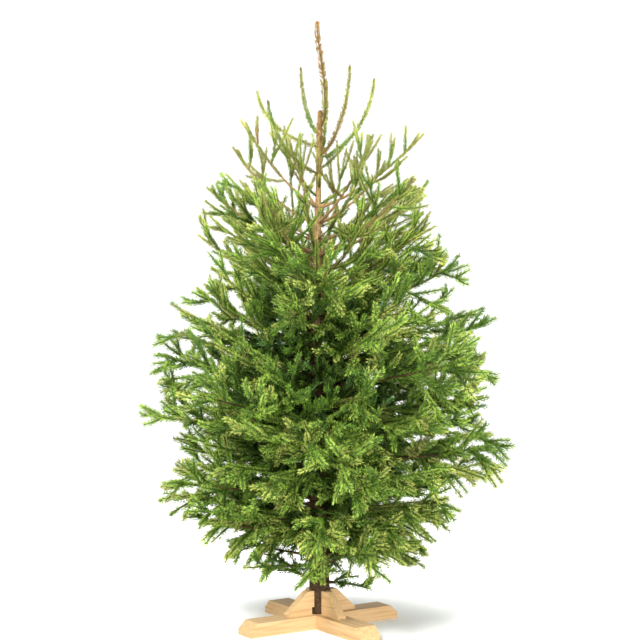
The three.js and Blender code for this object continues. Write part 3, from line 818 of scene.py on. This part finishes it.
class Paint:
    """A node material under way, with its shader and short calls for the nodes it is made of."""

    def __init__(self, name, colour, roughness, specular):
        self.material = bpy.data.materials.new(name)
        self.material.use_nodes = True
        self.nodes = self.material.node_tree.nodes
        self.shader = self.nodes["Principled BSDF"]
        self.feed(self.shader, {"Base Color": linear(colour), "Roughness": roughness,
                                "Specular IOR Level": specular})
        self.coordinates = self.nodes.new("ShaderNodeTexCoord").outputs["Object"]

    def feed(self, node, inputs):
        """Sets a node's inputs to values, or links them to other nodes' outputs."""
        for name, value in inputs.items():
            if isinstance(value, bpy.types.NodeSocket):
                self.material.node_tree.links.new(value, node.inputs[name])
            else:
                node.inputs[name].default_value = value
        return node

    def node(self, kind, inputs):
        """A new node of a kind, with its inputs."""
        return self.feed(self.nodes.new("ShaderNode" + kind), inputs)

    def stretched(self, scale, turn=0.0):
        """The object's own coordinates turned by turn degrees, and scaled along their turned axes."""
        node = self.node("Mapping", {"Vector": self.coordinates, "Scale": [1 / s for s in scale],
                                     "Rotation": (0, 0, math.radians(turn))})
        node.vector_type = "TEXTURE"
        return node.outputs["Vector"]

    def noise(self, scale, detail, at=None, roughness=0.5, distortion=0.0):
        """Clouded noise from 0 to 1."""
        node = self.node("TexNoise", {"Vector": at or self.coordinates, "Scale": scale, "Detail": detail,
                                      "Roughness": roughness, "Distortion": distortion})
        return node.outputs["Fac"]

    def cells(self, scale, at):
        """The distance from the middle of the nearest cell."""
        return self.node("TexVoronoi", {"Vector": at, "Scale": scale}).outputs["Distance"]

    def height(self, low, high):
        """From 0 at height low to 1 at height high, in metres."""
        up = self.node("SeparateXYZ", {"Vector": self.coordinates}).outputs["Z"]
        return self.node("MapRange", {"Value": up, "From Min": low, "From Max": high}).outputs["Result"]

    def ramp(self, value, stops):
        """A value turned into colours, or into greys where a stop is a number."""
        node = self.node("ValToRGB", {"Fac": value})
        elements = node.color_ramp.elements
        while len(elements) < len(stops):
            elements.new(0.5)
        for element, (position, colour) in zip(elements, stops):
            element.position = position
            element.color = linear(colour) if isinstance(colour, str) else [colour, colour, colour, 1]
        return node.outputs["Color"]

    def mixed(self, share, low, high):
        """A mix of two colours. Each of the three may be a value or another node's output."""
        node = self.nodes.new("ShaderNodeMix")
        node.data_type = "RGBA"
        return self.feed(node, {"Factor": share, "A": low, "B": high}).outputs["Result"]

    def base(self, value):
        """Links the base colour."""
        self.feed(self.shader, {"Base Color": value})

    def rough(self, value, low, high):
        """Links the roughness, from low to high."""
        node = self.node("MapRange", {"Value": value, "To Min": low, "To Max": high})
        self.feed(self.shader, {"Roughness": node.outputs["Result"]})

    def bump(self, value, strength, distance):
        """Links a fine relief, distance deep in metres."""
        node = self.node("Bump", {"Height": value, "Strength": strength, "Distance": distance})
        self.feed(self.shader, {"Normal": node.outputs["Normal"]})


def needle_material(name, code):
    """Waxy needles: one base colour, a little lighter and darker from place to place."""
    paint = Paint("needles_" + name, code, 0.55, 0.25)
    patch = paint.noise(26, 2)
    paint.base(paint.ramp(patch, [(0.3, darker(code, 0.8)), (0.5, code), (0.72, darker(code, 1.16))]))
    paint.rough(paint.noise(400, 1), 0.38, 0.6)
    return paint.material


def twig_material(name, code):
    """Thin young bark under the needles, finely mottled and wrinkled."""
    paint = Paint("twig_" + name, code, 0.75, 0.3)
    grain = paint.noise(500, 3)
    paint.base(paint.ramp(grain, [(0.3, darker(code, 0.6)), (0.55, code), (0.8, darker(code, 1.2))]))
    paint.bump(grain, 0.4, 0.0006)
    return paint.material


def bark_material(name, flake_scale, pale_heights):
    """Flaky bark: dark reddish-brown scales and seams low down, smoother and tan towards the top."""
    paint = Paint(name, "5a3a22", 0.88, 0.2)
    up = paint.stretched((1, 1, 0.42))
    flakes = paint.cells(flake_scale, up)
    seams = paint.ramp(flakes, [(0.05, 0.0), (0.45, 1.0)])
    grain = paint.noise(240, 5, up, 0.6)
    low = paint.ramp(grain, [(0.25, "241a10"), (0.45, "3a2b1c"), (0.62, "523e28"), (0.82, "7a6040")])
    top = paint.ramp(grain, [(0.25, "6e5636"), (0.45, "987a52"), (0.62, "b09464"), (0.82, "c8ae84")])
    tone = paint.mixed(paint.height(*pale_heights), low, top)
    patches = paint.ramp(paint.noise(9, 3), [(0.45, 0.0), (0.7, 1.0)])
    pale = paint.mixed(0.35, tone, paint.mixed(patches, tone, linear("98754f")))
    dark = paint.mixed(seams, paint.mixed(0.6, tone, linear("24140a")), pale)
    paint.base(paint.mixed(0.7, pale, dark))
    paint.bump(grain, 0.7, 0.0015)
    return paint.material


def board_material(name, turn):
    """Planed pine: soft grain along a board that lies at a turn, in broad rings and fine fibre."""
    paint = Paint(name, "c8a678", 0.6, 0.35)
    along = paint.stretched((1.2, 26, 26), turn)
    rings = paint.noise(3.2, 4, along, 0.5, 0.4)
    tone = paint.ramp(rings, [(0.32, "a8804e"), (0.45, "c49c68"), (0.58, "d2b080"), (0.72, "b98d58")])
    fibre = paint.noise(12, 4, paint.stretched((1, 40, 40), turn), 0.6)
    paint.base(paint.mixed(0.35, tone, paint.ramp(fibre, [(0.3, "a8804f"), (0.7, "dcc298")])))
    paint.rough(fibre, 0.5, 0.75)
    paint.bump(fibre, 0.35, 0.0006)
    return paint.material


def added(name, data):
    """A new object of the scene."""
    thing = bpy.data.objects.new(name, data)
    bpy.context.scene.collection.objects.link(thing)
    return thing


def finished_mesh(name, points, faces, material, smooth):
    """One piece from arrays of points, in millimetres, and triangles."""
    mesh = bpy.data.meshes.new(name)
    mesh.vertices.add(len(points))
    mesh.vertices.foreach_set("co", (points * MM).astype(np.float32).ravel())
    mesh.loops.add(faces.size)
    mesh.loops.foreach_set("vertex_index", faces.astype(np.int32).ravel())
    mesh.polygons.add(len(faces))
    mesh.polygons.foreach_set("loop_start", np.arange(0, faces.size, 3, dtype=np.int32))
    mesh.polygons.foreach_set("use_smooth", np.full(len(faces), smooth))
    mesh.update(calc_edges=True)
    mesh.materials.append(material)
    return added(name, mesh)


def joined(skins_of_one):
    """Several skins as one pair of arrays."""
    points, faces = zip(*skins_of_one)
    starts = np.cumsum([0, *map(len, points)])
    return np.concatenate(points), np.concatenate([own + start for own, start in zip(faces, starts)])


def nodes_named(*starts):
    """The solid model's nodes whose names start so."""
    return [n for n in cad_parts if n.startswith(starts)]


def place(piece, slot, *nodes):
    """Puts a piece on the tree, riding on the root, and hides the solid model's parts that it stands for.
    slot is not used.
    """
    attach(piece, "root")
    if nodes:
        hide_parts(*nodes)


def place_needles():
    """The joined needles, a piece for each part of the crown and colour."""
    nodes_of = {w["name"]: nodes_named(w["name"] + "_foliage") for w in WHORLS}
    nodes_of["top"] = nodes_named("top_shoot", "leader")
    materials = {name: needle_material(name, code) for name, code in NEEDLE_COLOURS.items()}
    for (part, colour), made in kites.items():
        points = np.concatenate(made).reshape(-1, 3)
        feet = np.arange(0, len(points), 4)[:, None]
        faces = np.concatenate([feet + [0, 1, 2], feet + [0, 2, 3]])
        piece = finished_mesh(f"{part}_{colour}_needles", points, faces, materials[colour], False)
        place(piece, "top_needles" if part == "top" else "needles", *nodes_of[part])


def place_twigs():
    """The joined boughs, and the joined twigs and buds by part of the crown and colour."""
    boughs = nodes_named("shoulder_bough", "high_bough", "middle_bough", "low_bough")
    materials = {name: twig_material(name, code) for name, code in TWIG_COLOURS.items()}
    materials["bark"] = bark_material("bough_bark", 95, (0.95, 1.45))
    for (part, colour), made in skins.items():
        points, faces = joined(made)
        whole = part == "boughs"
        name = part if whole else f"{part}_{colour}_twigs"
        piece = finished_mesh(name, points, faces, materials[colour], True)
        place(piece, "young_bark", *(boughs if whole else []))


def knots():
    """The knots of the trunk, as turn, height and size: old ones by chance and one under each bough."""
    rng = np.random.default_rng(KNOTS["seed"])
    found = [(rng.uniform(0, 360), rng.uniform(KNOTS["low"], KNOTS["high"]),
              rng.uniform(KNOTS["least"], KNOTS["most"])) for _ in range(KNOTS["count"])]
    for whorl in WHORLS:
        for index in range(whorl["boughs"]):
            b = branch(whorl, index)
            turn = math.degrees(math.atan2(b["out"][1], b["out"][0]))
            found.append((turn, b["height"] + b["radius"] * 0.4, b["radius"] * 1.5))
    return found


def trunk_relief(heights, turns):
    """How far the bark stands out, in millimetres, for each height and turn."""
    grid = np.zeros((len(heights), len(turns)))
    for r, height in enumerate(heights):
        radius = trunk_radius(height)
        depth = TRUNK_BARK["relief"] * (radius / BUTT_RADIUS) ** 0.6
        for c, turn in enumerate(turns):
            x, y = radius * math.cos(turn), radius * math.sin(turn)
            flake = scaly(x, y, height, TRUNK_BARK["size"])
            fine = noise.noise(Vector((x, y, height * 0.6)) * 0.22)
            slow = noise.noise(Vector((x * 0.02, y * 0.02, height * 0.004)))
            grid[r, c] = depth * (flake - 0.6) + 0.35 * fine + 0.05 * radius * slow
    radii = np.array([trunk_radius(h) for h in heights])
    for turn, height, size in knots():
        away = np.radians(wrapped(np.degrees(turns) - turn))[None, :] * radii[:, None]
        near = np.hypot(away, (heights - height)[:, None] * 0.8) / size
        grid += np.exp(-(near**2)) * size * 0.2 - 0.5 * np.exp(-(((near - 1.25) / 0.3) ** 2))
    return grid


def trunk_piece():
    """The trunk with flaky bark, whorl collars, knots and its flat cut."""
    around, rings = TRUNK_BARK["sides"], TRUNK_BARK["rings"]
    heights = np.linspace(0, TRUNK_HEIGHT, rings)
    turns = np.arange(around) * 2 * math.pi / around
    grid = trunk_relief(heights, turns)
    points = np.zeros((rings, around, 3))
    for r, height in enumerate(heights):
        edge = min(1.0, height / BUTT_CHAMFER)
        radius = trunk_radius(height) - (1 - edge) * BUTT_CHAMFER * 0.6
        out = radius + grid[r] * min(1.0, height / 12)
        points[r] = trunk_centre(height) + np.stack([out * np.cos(turns), out * np.sin(turns), turns * 0], -1)
    points = points.reshape(-1, 3)
    foot, top = len(points), len(points) + 1
    points = np.concatenate([points, [trunk_centre(0.0)], [trunk_centre(TRUNK_HEIGHT) + UP * 3]])
    here = np.arange(around)
    there = (here + 1) % around
    last = (rings - 1) * around
    faces = np.concatenate([
        ring_faces(rings, around),
        np.stack([here * 0 + foot, there, here], -1),
        np.stack([here * 0 + top, last + here, last + there], -1),
    ])
    return finished_mesh("trunk_bark", points, faces, bark_material("trunk_bark", 62, (0.85, 1.15)), True)


def soften(solid, width):
    """Rounds the edges of a solid of the frame."""
    weld = solid.modifiers.new("weld", "WELD")
    weld.merge_threshold = 0.00002
    bevel = solid.modifiers.new("bevel", "BEVEL")
    bevel.width = width
    bevel.segments = 3
    bevel.angle_limit = math.radians(25)


def finish_boards():
    """Planed pine and softened edges for the two boards of the stand."""
    for name, turn in (("stand_lower_board", BOARD_TURN), ("stand_upper_board", BOARD_TURN + 90)):
        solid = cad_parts[name]
        solid.data.materials.clear()
        solid.data.materials.append(board_material(name + "_pine", turn))
        soften(solid, 0.0016)


def add_floor():
    """A round pale floor that curves up into a wall."""
    bends = np.linspace(0, math.pi / 2, 10)
    profile = [(FLOOR_REACH + COVE_RADIUS * math.sin(a), COVE_RADIUS * (1 - math.cos(a))) for a in bends]
    profile.append((FLOOR_REACH + COVE_RADIUS, WALL_TOP))
    around = FLOOR_SIDES
    turns = np.arange(around) * 2 * math.pi / around
    points = [(r * math.cos(a), r * math.sin(a), z) for r, z in profile for a in turns] + [(0, 0, 0)]
    faces = [(around * len(profile), i, (i + 1) % around) for i in range(around)]
    for row in range(len(profile) - 1):
        low, high = row * around, (row + 1) * around
        faces += [(low + i, high + i, high + (i + 1) % around, low + (i + 1) % around) for i in range(around)]
    floor = bpy.data.meshes.new("floor")
    floor.from_pydata(points, [], faces)
    floor.polygons.foreach_set("use_smooth", [True] * len(faces))
    floor.materials.append(Paint("paper", "fdfdfc", 0.9, 0.1).material)
    sweep = added("floor", floor)


def add_sky():
    """Even light from all round, and plain colours in the picture."""
    bpy.context.scene.view_settings.view_transform = "Standard"
    world = bpy.data.worlds.new("studio")
    world.use_nodes = True
    sky = world.node_tree.nodes["Background"]
    sky.inputs["Color"].default_value = SKY_COLOUR
    sky.inputs["Strength"].default_value = SKY_STRENGTH
    bpy.context.scene.world = world


def add_light(name, at, aim, size, power):
    """A square soft light that faces a point."""
    data = bpy.data.lights.new(name, "AREA")
    data.size = size
    data.energy = power
    lamp = added(name, data)
    lamp.location = at
    lamp.rotation_euler = (Vector(aim) - Vector(at)).to_track_quat("-Z", "Y").to_euler()


def add_camera():
    """A level camera in front of the tree."""
    camera = bpy.data.cameras.new("camera")
    camera.lens = LENS
    eye = added("camera", camera)
    eye.location = EYE
    eye.rotation_euler = (math.pi / 2, 0, 0)
    bpy.context.scene.camera = eye


dress_top()
for n, row in enumerate(BETWEEN):
    dress_between(row, BETWEEN_SEED + n)
for whorl in WHORLS:
    for index in range(whorl["boughs"]):
        dress_branch(branch(whorl, index))

place_needles()
place_twigs()
place(trunk_piece(), "bark", "trunk")
finish_boards()

add_floor()
add_sky()
for row in LIGHTS:
    add_light(**row)
add_camera()
